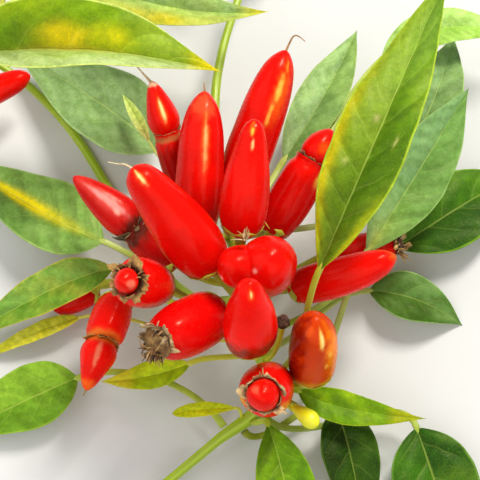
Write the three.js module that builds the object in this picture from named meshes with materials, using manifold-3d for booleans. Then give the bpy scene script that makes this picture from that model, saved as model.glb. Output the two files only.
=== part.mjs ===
// A branch cut from a chilli pepper plant, lying on a level surface: a crowd of red fruits on
// their stalks, the main stem from its cut end to its leafy top, a side shoot, the leaves and
// one flower bud. Millimetres, +Z up, origin under the middle of the whole branch.
import * as THREE from "three";
import Module from "manifold-3d";

const wasm = await Module();
wasm.setup();

// Sizes that all pieces share
const GAP = 0.3;
const STEM_SIDES = 8;
const STALK_RADIUS = 0.9;
const STALK_SIDES = 7;
const PETIOLE_RADIUS = 0.85;
const FRUIT_SIDES = 11;
const LEAF_THICKNESS = 0.012;
const LEAST_THICKNESS = 0.5;
const GROWN_IN = 0.8;
const LEAVING = 0.35;
const ARRIVING = 0.33;
const SETTING_OFF = 3;
const PLATE_STARTS = 0.9;
const LOBE_STARTS = 0.12;

// The middle of the branch, seen from above, in the coordinates of the tables below
const MIDDLE = [-2.3, 12.5];

const MATERIALS = {
  stem: { color: 0x8fae2e, roughness: 0.55, metalness: 0 },
  fruit: { color: 0xd90d05, roughness: 0.22, metalness: 0 },
  leaf: { color: 0x6f9a3c, roughness: 0.5, metalness: 0 },
  bud: { color: 0xd9c83a, roughness: 0.5, metalness: 0 },
};

// Stems: points from foot to tip, each as x, y, z and the radius there
const STEMS = {
  stem_main: {
    points: [
      [-34, -70, 1.3, 1.3],
      [-19, -58, 3, 1.2],
      [-6, -48, 7, 1.3],
      [7, -38, 11, 2.3],
      [5, -25, 16, 1.8],
      [1, -12, 20, 2.6],
      [-1, 0, 19, 1.7],
      [-5, 16, 17, 1.5],
      [-7, 44, 16, 1.3],
      [-5, 62, 17, 1.2],
      [0, 80, 18, 1.1],
      [5, 96, 17, 0.8],
    ],
  },
  shoot_left: {
    from: ["stem_main", 5],
    points: [
      [-13, -10, 12, 1.3],
      [-26, 5, 5, 1.3],
      [-36, 24, 2, 1.2],
      [-48, 44, 1.2, 1.2],
      [-62, 59, 3, 1.1],
      [-75, 66, 9, 1],
      [-84, 70, 18, 0.8],
    ],
  },
};

// Outlines of a fruit: how far along its axis, and the radius there as a part of the largest
const POINTED = [
  [0, 0.5], [0.05, 0.76], [0.15, 0.93], [0.32, 1], [0.54, 0.96], [0.72, 0.86], [0.87, 0.65],
  [0.96, 0.34], [1, 0],
];
const BLUNT = [
  [0, 0.55], [0.05, 0.8], [0.16, 0.96], [0.38, 1], [0.6, 0.97], [0.78, 0.85], [0.9, 0.62],
  [0.97, 0.34], [1, 0],
];
const CLUB = [
  [0, 0.55], [0.05, 0.8], [0.15, 0.96], [0.3, 1], [0.5, 0.92], [0.7, 0.76], [0.88, 0.57],
  [0.96, 0.36], [1, 0],
];
const WAISTED = [
  [0, 0.55], [0.05, 0.8], [0.16, 0.97], [0.34, 1], [0.55, 0.88], [0.75, 0.66], [0.9, 0.46],
  [0.97, 0.27], [1, 0],
];
const DROP = [[0, 0.35], [0.25, 0.5], [0.5, 0.84], [0.72, 1], [0.88, 0.8], [0.97, 0.4], [1, 0]];
// This one ends in a flat crust
const SCABBED = [
  [0, 0.55], [0.05, 0.8], [0.16, 0.96], [0.36, 1], [0.58, 0.97], [0.76, 0.84], [0.84, 0.66],
  [0.87, 0.58], [1, 0.5],
];

// A fruit that its dried flower ring pinches: a cup up to the ring, then a lobe beyond it, which
// comes more to a point the less is left of it late in its length
function pinched(ring, lobe, late = 0.86) {
  const beyond = 1 - ring;
  return [
    [0, 0.55], [0.12 * ring, 0.82], [0.42 * ring, 1], [0.8 * ring, 0.98], [ring, 0.86],
    [ring + 0.03 * beyond, 0.8 * lobe], [ring + 0.25 * beyond, lobe],
    [ring + 0.6 * beyond, late * lobe], [ring + 0.88 * beyond, 0.52 * late * lobe], [1, 0],
  ];
}

// Fruits: the place on the stem that the stalk grows from, base, tip, width, outline, how far
// the middle of the axis is bent aside, and any second lobe that is grown into the first
const FRUITS = {
  long_back: {
    from: 5.6, base: [-2, 13, 24], tip: [12, 46, 46], width: 12.5, outline: POINTED, bend: [0, 0, 2],
  },
  long_front: {
    from: 5.1, base: [0.2, -2.5, 39], tip: [3.7, 20, 58], width: 12.3, outline: WAISTED, bend: [0, 0, 1],
  },
  big_blunt: {
    from: 4.9, base: [-7, -11, 37], tip: [-26, 6, 60], width: 14.6, outline: CLUB, bend: [0, 0, 1],
  },
  slim_left: {
    from: 5.8, base: [-11, 2, 29], tip: [-9, 33, 48], width: 12.5, outline: POINTED, bend: [0, 0, 1],
  },
  ringed_small: {
    from: 6.3, base: [-14, 14, 24], tip: [-23, 38, 44], width: 8.8, outline: pinched(0.57, 0.97, 0.74),
  },
  ringed_dark: {
    from: 5.7, base: [8, 4, 23], tip: [24, 28, 36], width: 11.5, outline: pinched(0.7, 0.8),
  },
  ringed_left: {
    from: 5.25, base: [-16, -5, 24], tip: [-43, 14, 37], width: 11, outline: pinched(0.42, 0.93, 0.76),
  },
  end_on_left: {
    from: 4.7, base: [-20, -15, 34], tip: [-28.3, -21.5, 56], width: 12, outline: pinched(0.8, 0.5),
  },
  ringed_low_left: {
    from: 4.5, base: [-32, -12, 18], tip: [-39, -39, 23], width: 10.5, outline: pinched(0.5, 0.88, 0.7),
  },
  scabbed_left: {
    from: 4.3, base: [-6, -22, 34], tip: [-21, -35, 48], width: 14, outline: SCABBED,
  },
  two_lobed: {
    from: 4.6, base: [7, -10.5, 33], tip: [7, -15.3, 54], width: 14.5, outline: BLUNT,
    lobe: { tip: [-3.6, -16.3, 52], width: 11.5 },
  },
  upright: {
    from: 3.95, base: [2.5, -32.5, 40], tip: [2, -25, 64], width: 13, outline: WAISTED,
  },
  orange: {
    from: 3.3, base: [18, -36, 25], tip: [18, -27, 46], width: 12, outline: BLUNT,
  },
  long_right: {
    from: 4.8, base: [13, -11, 22], tip: [40, -6, 32], width: 10.5, outline: POINTED, bend: [0, -1, 0],
  },
  scabbed_right: {
    from: 5.2, base: [25, 1, 14], tip: [43, 2.5, 19], width: 9.5, outline: SCABBED,
  },
  ringed_low: {
    from: 3, base: [8, -36, 20], tip: [5, -47, 44], width: 13, outline: pinched(0.78, 0.6),
  },
};

// Small fruits at the back and the flower bud, each in one piece with its stalk
const GROWN_ON = {
  fruit_small_left: {
    stem: "shoot_left", from: 2.6, base: [-39, -5, 6], tip: [-51, -11, 5], width: 8, outline: POINTED,
  },
  fruit_far_left: {
    stem: "shoot_left", from: 6.3, base: [-76, 48, 13], tip: [-59, 54.5, 17], width: 8, outline: POINTED,
  },
  flower_bud: {
    from: 2.8, base: [12.3, -41.4, 20], tip: [19.5, -48.3, 23.5], width: 4.6, outline: DROP, material: "bud",
  },
};

// Leaves: the place on the stem that the leaf grows from, base of the blade, middle and tip of
// its rib, width, the way its upper face looks, how far its halves fold up, in degrees, and how
// its outline swells and tapers where that isn't as on most
const LEAVES = {
  big_right: {
    from: 3.5, base: [19.2, -15, 43.5], middle: [33, 14, 58], tip: [55, 67, 52],
    width: 20.5, face: [-0.4, -0.3, 0.9], fold: 15, swell: 1.2,
  },
  grey_right: {
    from: 3.2, base: [33, -1.6, 22], middle: [47.3, 20, 27], tip: [62.5, 45.6, 26],
    width: 18, face: [0.2, -0.3, 1], fold: 15, swell: 1.1,
  },
  back_right: {
    from: 6.3, base: [42, 23, 12], middle: [54, 47, 15], tip: [62, 72, 9],
    width: 17, face: [0, 0, 1], fold: 10,
  },
  lime_right: {
    from: 6.6, base: [40, 60, 16], middle: [58, 68, 20], tip: [80, 66, 17],
    width: 12, face: [0, 0, 1], fold: 12,
  },
  top_left: {
    stem: "shoot_left", from: 7.6, base: [-80, 49, 36], middle: [-42, 46, 46], tip: [-5, 43, 40],
    width: 28, face: [0, 0.1, 1], fold: 30,
  },
  top_middle: {
    stem: "shoot_left", from: 7.2, base: [-54, 89, 24], middle: [-25, 70, 30], tip: [8, 66, 32],
    width: 16, face: [0, -0.2, 1], fold: 25,
  },
  low_left: {
    stem: "shoot_left", from: 2.3, base: [-34, -2.5, 14], middle: [-52, -9, 13], tip: [-78, -20, 0],
    width: 12.5, face: [0, 0, 1], fold: 12,
  },
  left: {
    stem: "shoot_left", from: 2.9, base: [-37, 6, 12], middle: [-55, 16, 10], tip: [-82, 37, 0],
    width: 21, face: [0, 0, 1], fold: 12,
  },
  left_back: {
    stem: "shoot_left", from: 3.5, base: [-22, 34, 10], middle: [-40, 49, 11], tip: [-66, 68, 7],
    width: 24, face: [0, 0, 1], fold: 10,
  },
  narrow: {
    from: 7.2, base: [-25, 34, 16], middle: [-29, 41, 18], tip: [-33, 49, 16],
    width: 4, face: [0, 0, 1], fold: 30,
  },
  back_middle: {
    from: 6.8, base: [12, 30, 12], middle: [24, 50, 15], tip: [34, 73, 10],
    width: 14, face: [0, 0, 1], fold: 15,
  },
  low_right: {
    from: 3.9, base: [35, -6, 6], middle: [48, -9, 7], tip: [61, -14, 0],
    width: 14, face: [0, 0, 1], fold: 10,
  },
  dark_right: {
    from: 4.2, base: [43, 6, 7], middle: [61, 18, 8], tip: [80, 32, 0],
    width: 22, face: [0, 0, 1], fold: 10,
  },
  bright_right: {
    from: 2.9, base: [15, -37, 16], middle: [28, -42, 16], tip: [48, -44, 14],
    width: 9, face: [0, -0.2, 1], fold: 15,
  },
  bottom: {
    from: 2.6, base: [7, -45, 14], middle: [12, -63, 13], tip: [18, -90, 0],
    width: 15.5, face: [0, -0.2, 1], fold: 12, swell: 1.3,
  },
  yellow: {
    from: 2.5, base: [-1, -41.3, 14.5], middle: [-9, -41.6, 14.5], tip: [-17.6, -42.4, 13],
    width: 4, face: [0, 0, 1], fold: 10, taper: 0.6,
  },
  low_yellow: {
    from: 3.9, base: [-13, -29, 14], middle: [-24, -32, 12], tip: [-37, -32, 7],
    width: 8, face: [0, 0, 1], fold: 12,
  },
  yellow_left: {
    from: 4.2, base: [-43, -14, 7], middle: [-55, -18, 6], tip: [-73, -25, 0],
    width: 5, face: [0, 0, 1], fold: 12,
  },
  bottom_left: {
    from: 2.2, base: [-43, -31, 7], middle: [-57, -37, 6], tip: [-78, -46, 0],
    width: 18, face: [0, 0, 1], fold: 10,
  },
  hooked: {
    from: 2.75, base: [46, -45, 9], middle: [51.5, -63, 7], tip: [60, -88, 0],
    width: 23, face: [0, 0, 1], fold: 10,
  },
  bottom_dark: {
    from: 2.4, base: [25, -39, 9], middle: [29, -54, 8], tip: [33, -74, 0],
    width: 15, face: [0, 0, 1], fold: 10,
  },
  young_one: {
    from: 10.6, base: [7, 98, 22], middle: [14, 106, 25], tip: [20, 115, 20],
    width: 8, face: [0, 0, 1], fold: 25,
  },
  young_two: {
    from: 10.2, base: [-2, 92, 22], middle: [-10, 100, 24], tip: [-18, 108, 18],
    width: 8, face: [0, 0, 1], fold: 25,
  },
};

// A leaf's rings: points on each face of one, steps on the petiole, and places along the blade,
// whose width swells from the base to a peak and draws out to a point
const LEAF_POINTS = 5;
const PETIOLE_STEPS = 4;
const BLADE_PLACES = [0.05, 0.13, 0.23, 0.35, 0.48, 0.62, 0.76, 0.9];
const SWELL = 0.9;
const TAPER = 1.25;
const BLADE_STARTS = 0.12;

const vector = ([x, y, z]) => new THREE.Vector3(x, y, z);
const squareTo = (way, along) => way.clone().addScaledVector(along, -way.dot(along)).normalize();

// A closed body through rings of points that turn left about the way they run
function bodyThroughRings(rings) {
  const places = [];
  const corners = [];
  const starts = [];
  const sides = Math.max(...rings.map((ring) => ring.length));
  for (const ring of rings) {
    starts.push(places.length / 3);
    for (const point of ring) places.push(point.x, point.y, point.z);
  }
  const corner = (ring, side) => starts[ring] + (rings[ring].length === 1 ? 0 : side % sides);
  for (let ring = 0; ring + 1 < rings.length; ring += 1) {
    for (let side = 0; side < sides; side += 1) {
      const low = [corner(ring, side), corner(ring, side + 1)];
      const high = [corner(ring + 1, side), corner(ring + 1, side + 1)];
      if (low[0] !== low[1]) corners.push(low[0], low[1], high[1]);
      if (high[0] !== high[1]) corners.push(low[0], high[1], high[0]);
    }
  }
  const last = rings.length - 1;
  for (let side = 1; side + 1 < sides; side += 1) {
    if (rings[0].length > 1) corners.push(corner(0, 0), corner(0, side + 1), corner(0, side));
    if (rings[last].length > 1) corners.push(corner(last, 0), corner(last, side), corner(last, side + 1));
  }
  const geometry = new THREE.BufferGeometry();
  geometry.setAttribute("position", new THREE.Float32BufferAttribute(places, 3));
  geometry.setIndex(corners);
  return geometry;
}

// A closed round body through stations, each a centre, the way the body runs there and a radius.
// The rings are turned no further than the way they run turns, so the sides never twist
function roundBody(stations, sides) {
  const first = stations[0][1];
  let across = Math.abs(first.x) < 0.8 ? new THREE.Vector3(1, 0, 0) : new THREE.Vector3(0, 1, 0);
  const rings = [];
  for (const [centre, along, radius] of stations) {
    across = squareTo(across, along);
    const other = along.clone().cross(across);
    const ring = [];
    for (let side = 0; side < (radius === 0 ? 1 : sides); side += 1) {
      const angle = (2 * Math.PI * side) / sides;
      const point = centre.clone().addScaledVector(across, radius * Math.cos(angle));
      ring.push(point.addScaledVector(other, radius * Math.sin(angle)));
    }
    rings.push(ring);
  }
  return bodyThroughRings(rings);
}

// A smooth line through a stem's points, and the radius at any place on it
class StemLine {
  constructor(points) {
    this.radii = points.map((point) => point[3]);
    this.curve = new THREE.CatmullRomCurve3(points.map(vector), false, "catmullrom", 0.5);
    this.spans = points.length - 1;
  }

  point(place) {
    return this.curve.getPoint(place / this.spans);
  }

  along(place) {
    return this.curve.getTangent(place / this.spans);
  }

  radius(place) {
    const span = Math.min(Math.floor(place), this.spans - 1);
    return THREE.MathUtils.lerp(this.radii[span], this.radii[span + 1], place - span);
  }

  // Where a piece that heads for a point leaves the stem, and the way it sets off
  foot(place, towards) {
    const centre = this.point(place);
    const along = this.along(place);
    const away = towards.clone().sub(centre);
    away.addScaledVector(along, -away.dot(along)).normalize();
    const radius = Math.max(...[-0.1, 0, 0.1].map((shift) => this.radius(place + shift)));
    const start = centre.addScaledVector(away, radius + 1.1 * GAP);
    return { start, away };
  }
}

// A line that leaves its foot squarely and reaches an end along the way it goes on there
function bridge(foot, end, onward) {
  const reach = foot.start.distanceTo(end);
  return new THREE.CubicBezierCurve3(
    foot.start,
    foot.start.clone().addScaledVector(foot.away, LEAVING * reach),
    end.clone().addScaledVector(onward, -ARRIVING * reach),
    end,
  );
}

function stemBody(line) {
  const stations = [];
  const steps = line.spans * 3;
  for (let step = 0; step <= steps; step += 1) {
    const place = (step * line.spans) / steps;
    stations.push([line.point(place), line.along(place), line.radius(place)]);
  }
  return roundBody(stations, STEM_SIDES);
}

// The axis of a fruit, from its stalk to its tip
function fruitAxis(base, tip, bend = [0, 0, 0]) {
  const control = vector(base).add(vector(tip)).multiplyScalar(0.5).addScaledVector(vector(bend), 2);
  return new THREE.QuadraticBezierCurve3(vector(base), control, vector(tip));
}

function fruitBody(axis, width, outline) {
  return roundBody(outline.map(([place, part]) => (
    [axis.getPoint(place), axis.getTangent(place), (part * width) / 2]
  )), FRUIT_SIDES);
}

// Two bodies grown into one
function grownTogether(first, second) {
  const [one, other] = [first, second].map((geometry) => new wasm.Manifold(new wasm.Mesh({
    numProp: 3,
    vertProperties: geometry.getAttribute("position").array,
    triVerts: new Uint32Array(geometry.getIndex().array),
  })));
  const mesh = one.add(other).getMesh();
  const geometry = new THREE.BufferGeometry();
  geometry.setAttribute("position", new THREE.BufferAttribute(mesh.vertProperties, 3));
  geometry.setIndex(new THREE.BufferAttribute(mesh.triVerts, 1));
  return geometry;
}

// A stalk with its calyx: a thin tube that widens to a small plate, which ends short of the
// fruit's base by a gap, or past it where the gap is below zero
function stalkBody(foot, axis, fruitWidth, gap) {
  const onward = axis.getTangent(0);
  const line = bridge(foot, axis.getPoint(0).addScaledVector(onward, -gap), onward);
  const plate = 0.25 * fruitWidth;
  const neck = Math.min(STALK_RADIUS, plate);
  const outline = [
    [0, 1.1 * neck], [0.25, neck], [0.5, neck], [0.75, 1.1 * neck], [0.88, Math.min(1.4 * neck, plate)],
    [0.95, 0.85 * plate], [1, plate],
  ];
  return roundBody(outline.map(([place, radius]) => (
    [line.getPoint(place), place < PLATE_STARTS ? line.getTangent(place) : onward, radius]
  )), STALK_SIDES);
}

// One ring of a leaf: round on the petiole, then flat and wide with blunt edges on the blade
function leafRing(centre, along, normal, halfWidth, thickness, fold, flatness) {
  const left = normal.clone().cross(along);
  const ring = [];
  for (let index = 0; index < 2 * LEAF_POINTS; index += 1) {
    const top = index < LEAF_POINTS;
    const step = (2 * (index % LEAF_POINTS)) / (LEAF_POINTS - 1);
    const across = top ? 1 - step : step - 1;
    const angle = (Math.PI * (index + 0.5)) / LEAF_POINTS;
    const bladeSide = across * halfWidth * Math.cos(fold);
    const bladeUp = Math.abs(across) * halfWidth * Math.sin(fold) + (top ? 0.5 : -0.5) * thickness;
    const side = THREE.MathUtils.lerp(PETIOLE_RADIUS * Math.cos(angle), bladeSide, flatness);
    const rise = THREE.MathUtils.lerp(PETIOLE_RADIUS * Math.sin(angle), bladeUp, flatness);
    ring.push(centre.clone().addScaledVector(left, side).addScaledVector(normal, rise));
  }
  return ring;
}

function leafBody(line, leaf) {
  const { swell = SWELL, taper = TAPER } = leaf;
  const peak = swell / (swell + taper);
  const [base, middle, tip] = [leaf.base, leaf.middle, leaf.tip].map(vector);
  const control = middle.clone().multiplyScalar(2).addScaledVector(base, -0.5).addScaledVector(tip, -0.5);
  const rib = new THREE.QuadraticBezierCurve3(base, control, tip);
  const petiole = bridge(line.foot(leaf.from, base), base, rib.getTangent(0));
  const thickness = Math.max(LEAST_THICKNESS, LEAF_THICKNESS * rib.getLength());
  const fold = THREE.MathUtils.degToRad(leaf.fold);
  const face = vector(leaf.face);
  const rings = [];
  let normal = squareTo(face, rib.getTangent(0));
  for (let step = PETIOLE_STEPS; step >= 0; step -= 1) {
    const along = petiole.getTangent(step / PETIOLE_STEPS);
    normal = squareTo(normal, along);
    rings.unshift(leafRing(petiole.getPoint(step / PETIOLE_STEPS), along, normal, 0, thickness, fold, 0));
  }
  for (const place of BLADE_PLACES) {
    const along = rib.getTangent(place);
    const share = (place / peak) ** swell * ((1 - place) / (1 - peak)) ** taper;
    const halfWidth = 0.5 * leaf.width * share;
    const flatness = Math.min(1, place / BLADE_STARTS);
    const centre = rib.getPoint(place);
    rings.push(leafRing(centre, along, squareTo(face, along), halfWidth, thickness, fold, flatness));
  }
  rings.push([tip]);
  return bodyThroughRings(rings);
}

const branch = new THREE.Group();
const lines = {};

function addPiece(name, geometry, material) {
  geometry.computeVertexNormals();
  const piece = new THREE.Mesh(geometry, new THREE.MeshStandardMaterial(MATERIALS[material]));
  piece.name = name;
  branch.add(piece);
}

function addStem(name, stem) {
  let points = stem.points;
  if (stem.from) {
    const [parent, place] = stem.from;
    const { start, away } = lines[parent].foot(place, vector(points[0]));
    const next = start.clone().addScaledVector(away, SETTING_OFF);
    points = [start, next].map((point) => [...point.toArray(), points[0][3]]).concat(points);
  }
  lines[name] = new StemLine(points);
  addPiece(name, stemBody(lines[name]), "stem");
}

function addFruit(name, fruit) {
  const axis = fruitAxis(fruit.base, fruit.tip, fruit.bend);
  let body = fruitBody(axis, fruit.width, fruit.outline);
  if (fruit.lobe) {
    const lobeBase = axis.getPoint(LOBE_STARTS).toArray();
    const lobe = fruitBody(fruitAxis(lobeBase, fruit.lobe.tip), fruit.lobe.width, fruit.outline);
    body = grownTogether(body, lobe);
  }
  const foot = lines.stem_main.foot(fruit.from, vector(fruit.base));
  addPiece(`fruit_${name}`, body, "fruit");
  addPiece(`stalk_${name}`, stalkBody(foot, axis, fruit.width, GAP), "stem");
}

function addGrownOn(name, { stem = "stem_main", from, base, tip, width, outline, material = "fruit" }) {
  const axis = fruitAxis(base, tip);
  const stalk = stalkBody(lines[stem].foot(from, vector(base)), axis, width, -GROWN_IN);
  addPiece(name, grownTogether(fruitBody(axis, width, outline), stalk), material);
}

function addLeaf(name, leaf) {
  addPiece(`leaf_${name}`, leafBody(lines[leaf.stem ?? "stem_main"], leaf), "leaf");
}

for (const [name, stem] of Object.entries(STEMS)) addStem(name, stem);
for (const [name, fruit] of Object.entries(FRUITS)) addFruit(name, fruit);
for (const [name, piece] of Object.entries(GROWN_ON)) addGrownOn(name, piece);
for (const [name, leaf] of Object.entries(LEAVES)) addLeaf(name, leaf);

branch.position.set(-MIDDLE[0], -MIDDLE[1], 0);

export default branch;
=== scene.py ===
# Looks of a cut chilli pepper branch: fruits, calyces, dried flower remains, leaves with their
# veins, and angular green stems, each built where its plain solid lies. Tables in millimetres.
import math
import random
from dataclasses import dataclass

import bpy
import numpy as np
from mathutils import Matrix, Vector


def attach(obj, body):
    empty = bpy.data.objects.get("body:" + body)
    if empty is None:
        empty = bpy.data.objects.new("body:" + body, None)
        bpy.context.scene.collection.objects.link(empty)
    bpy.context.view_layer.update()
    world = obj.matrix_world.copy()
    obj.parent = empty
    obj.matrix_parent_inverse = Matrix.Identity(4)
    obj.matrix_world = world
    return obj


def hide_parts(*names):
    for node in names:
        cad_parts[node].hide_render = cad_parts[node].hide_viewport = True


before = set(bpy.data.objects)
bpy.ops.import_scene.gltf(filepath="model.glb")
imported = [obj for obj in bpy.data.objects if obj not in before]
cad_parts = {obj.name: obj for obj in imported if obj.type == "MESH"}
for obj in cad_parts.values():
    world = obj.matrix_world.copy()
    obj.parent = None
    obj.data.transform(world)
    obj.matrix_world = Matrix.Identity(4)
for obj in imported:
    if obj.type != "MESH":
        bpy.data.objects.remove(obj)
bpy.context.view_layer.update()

# Sizes that all pieces share, as in the part's source. A stalk's curve leaves and arrives straight
# for these parts of its reach, and a branch sets off straight for that many millimetres
MM = 0.001
MIDDLE = np.array([-2.3, 12.5, 0.0])
GAP = 0.3
STALK_RADIUS = 0.9
PETIOLE_RADIUS = 0.85
LEAVING = 0.35
ARRIVING = 0.33
SETTING_OFF = 3
LOBE_STARTS = 0.12

# Thickness of what is thin
BLADE_THICKNESS = 0.34
FLAKE_THICKNESS = 0.13
SHRED_THICKNESS = 0.16

# Fineness of the meshes
STEM_SIDES = 28
STEM_STEPS = 10
FRUIT_SIDES = 80
FRUIT_RINGS = 100
STALK_SIDES = 20
STALK_STEPS = 16
KNOB_SIDES = 14
PETIOLE_SIDES = 16
PETIOLE_STEPS = 22
RIB_STEPS = 24
HAIR_SIDES = 7
CRUST_SIDES = 40
CRUST_ROWS = 24
LEAF_STEP = 0.75
LEAF_COLUMN = 0.62

# Colours as they look on a screen
RED = (236, 14, 6)
STEM_GREEN = (160, 186, 20)
STALK_GREEN = (178, 176, 12)
CALYX_GREEN = (184, 184, 40)
KNOB_GREEN = (208, 208, 24)
LEAF_UNDERSIDE = (176, 196, 130)
BUD_YELLOW = (230, 226, 20)
CUT_WOOD = (214, 218, 160)
CUT_RIM = (150, 128, 70)
CREAM = (226, 205, 160)
TAN = (176, 132, 78)
BROWN = (112, 70, 38)
DARK_BROWN = (58, 34, 20)
STRAW = (204, 160, 92)
CRUST = (188, 148, 84)
# Painted highlights on fruit skins: a warm glow round each, a golden highlight and a pale glint
HIGHLIGHT_GLOW = (250, 96, 22)
HIGHLIGHT_GOLD = (255, 190, 70)
GLINT = (255, 222, 140)

# Stems: which one it leaves and where, and its points, each with the radius there
STEMS = {
    "stem_main": (None, [
        (-34, -70, 1.3, 1.3), (-19, -58, 3, 1.2), (-6, -48, 7, 1.3), (7, -38, 11, 2.3),
        (5, -25, 16, 1.8), (1, -12, 20, 2.6), (-1, 0, 19, 1.7), (-5, 16, 17, 1.5),
        (-7, 44, 16, 1.3), (-5, 62, 17, 1.2), (0, 80, 18, 1.1), (5, 96, 17, 0.8),
    ]),
    "shoot_left": (("stem_main", 5), [
        (-13, -10, 12, 1.3), (-26, 5, 5, 1.3), (-36, 24, 2, 1.2), (-48, 44, 1.2, 1.2),
        (-62, 59, 3, 1.1), (-75, 66, 9, 1), (-84, 70, 18, 0.8),
    ]),
}

# Outlines of a fruit: how far along its axis, and the radius there as a part of the largest
POINTED = [
    (0, 0.5), (0.05, 0.76), (0.15, 0.93), (0.32, 1), (0.54, 0.96), (0.72, 0.86), (0.87, 0.65),
    (0.96, 0.34), (1, 0),
]
BLUNT = [
    (0, 0.55), (0.05, 0.8), (0.16, 0.96), (0.38, 1), (0.6, 0.97), (0.78, 0.85), (0.9, 0.62),
    (0.97, 0.34), (1, 0),
]
CLUB = [
    (0, 0.55), (0.05, 0.8), (0.15, 0.96), (0.3, 1), (0.5, 0.92), (0.7, 0.76), (0.88, 0.57),
    (0.96, 0.36), (1, 0),
]
WAISTED = [
    (0, 0.55), (0.05, 0.8), (0.16, 0.97), (0.34, 1), (0.55, 0.88), (0.75, 0.66), (0.9, 0.46),
    (0.97, 0.27), (1, 0),
]
DROP = [(0, 0.35), (0.25, 0.5), (0.5, 0.84), (0.72, 1), (0.88, 0.8), (0.97, 0.4), (1, 0)]
SCABBED = [
    (0, 0.55), (0.05, 0.8), (0.16, 0.96), (0.36, 1), (0.58, 0.97), (0.76, 0.84), (0.85, 0.66),
    (0.9, 0.52), (0.93, 0.3), (0.94, 0),
]


def pinched(ring, lobe, late=0.86, lip=0.84):
    """A cup that closes in to a lip, a groove inside it, and a lobe that stands out of it."""
    beyond = 1 - ring
    return [
        (0, 0.55), (0.12 * ring, 0.82), (0.42 * ring, 1), (0.8 * ring, 0.97),
        (0.94 * ring, 0.45 * (0.97 + lip)), (ring, lip), (ring - 0.008, 0.82 * lobe),
        (ring + 0.02 * beyond, 0.8 * lobe), (ring + 0.1 * beyond, 0.93 * lobe),
        (ring + 0.28 * beyond, lobe), (ring + 0.6 * beyond, late * lobe),
        (ring + 0.88 * beyond, 0.52 * late * lobe), (1, 0),
    ]


@dataclass
class Collar:
    """Dried flakes at a place along a fruit: how many, their length, how far they rise from the
    fruit's side, how far they curl, and the colours inside and at the edge."""

    place: float
    flakes: int
    length: tuple
    rise: float
    curl: tuple
    inside: tuple
    edge: tuple


@dataclass
class Fruit:
    """A fruit as in the part's source: place on the stem, base, tip and bend of its axis, largest
    width and outline, and the tip and width of its second lobe, if it has one. Then the looks:
    colour and patches of paint, each as place along the fruit, the way that the patch's middle
    faces, both spreads, colour and strength."""

    place: float
    base: tuple
    tip: tuple
    width: float
    outline: list
    bend: tuple = (0, 0, 0)
    lobe: tuple = None
    stem: str = "stem_main"
    colour: tuple = RED
    # Many of the patches are painted highlights, a few painted shade
    patches: tuple = ()
    slot: str = "fruit"


@dataclass
class Leaf:
    """A leaf as in the part's source: place on the stem, base, middle and tip of the rib, width
    and fold. Then the looks: colours of the left and right half, of the margin, of the mottling
    and of the tip, and patches, each as side (-1 is the left margin, 1 the right), place along
    the rib, both spreads, colour and strength."""

    place: float
    rib: tuple
    width: float
    fold: float
    left: tuple
    right: tuple
    margin: tuple
    stem: str = "stem_main"
    face: tuple = (0, 0, 1)
    swell: float = 0.9
    taper: float = 1.25
    halves: tuple = (1, 1)
    mottle: tuple = None
    tip: tuple = None
    tip_starts: float = 0.84
    margin_width: float = 0.06
    veins: float = 0.4
    pucker: float = 1
    patches: tuple = ()


# Patches in the glow, gold and glint colours are painted highlights where light falls on the skins
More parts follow.
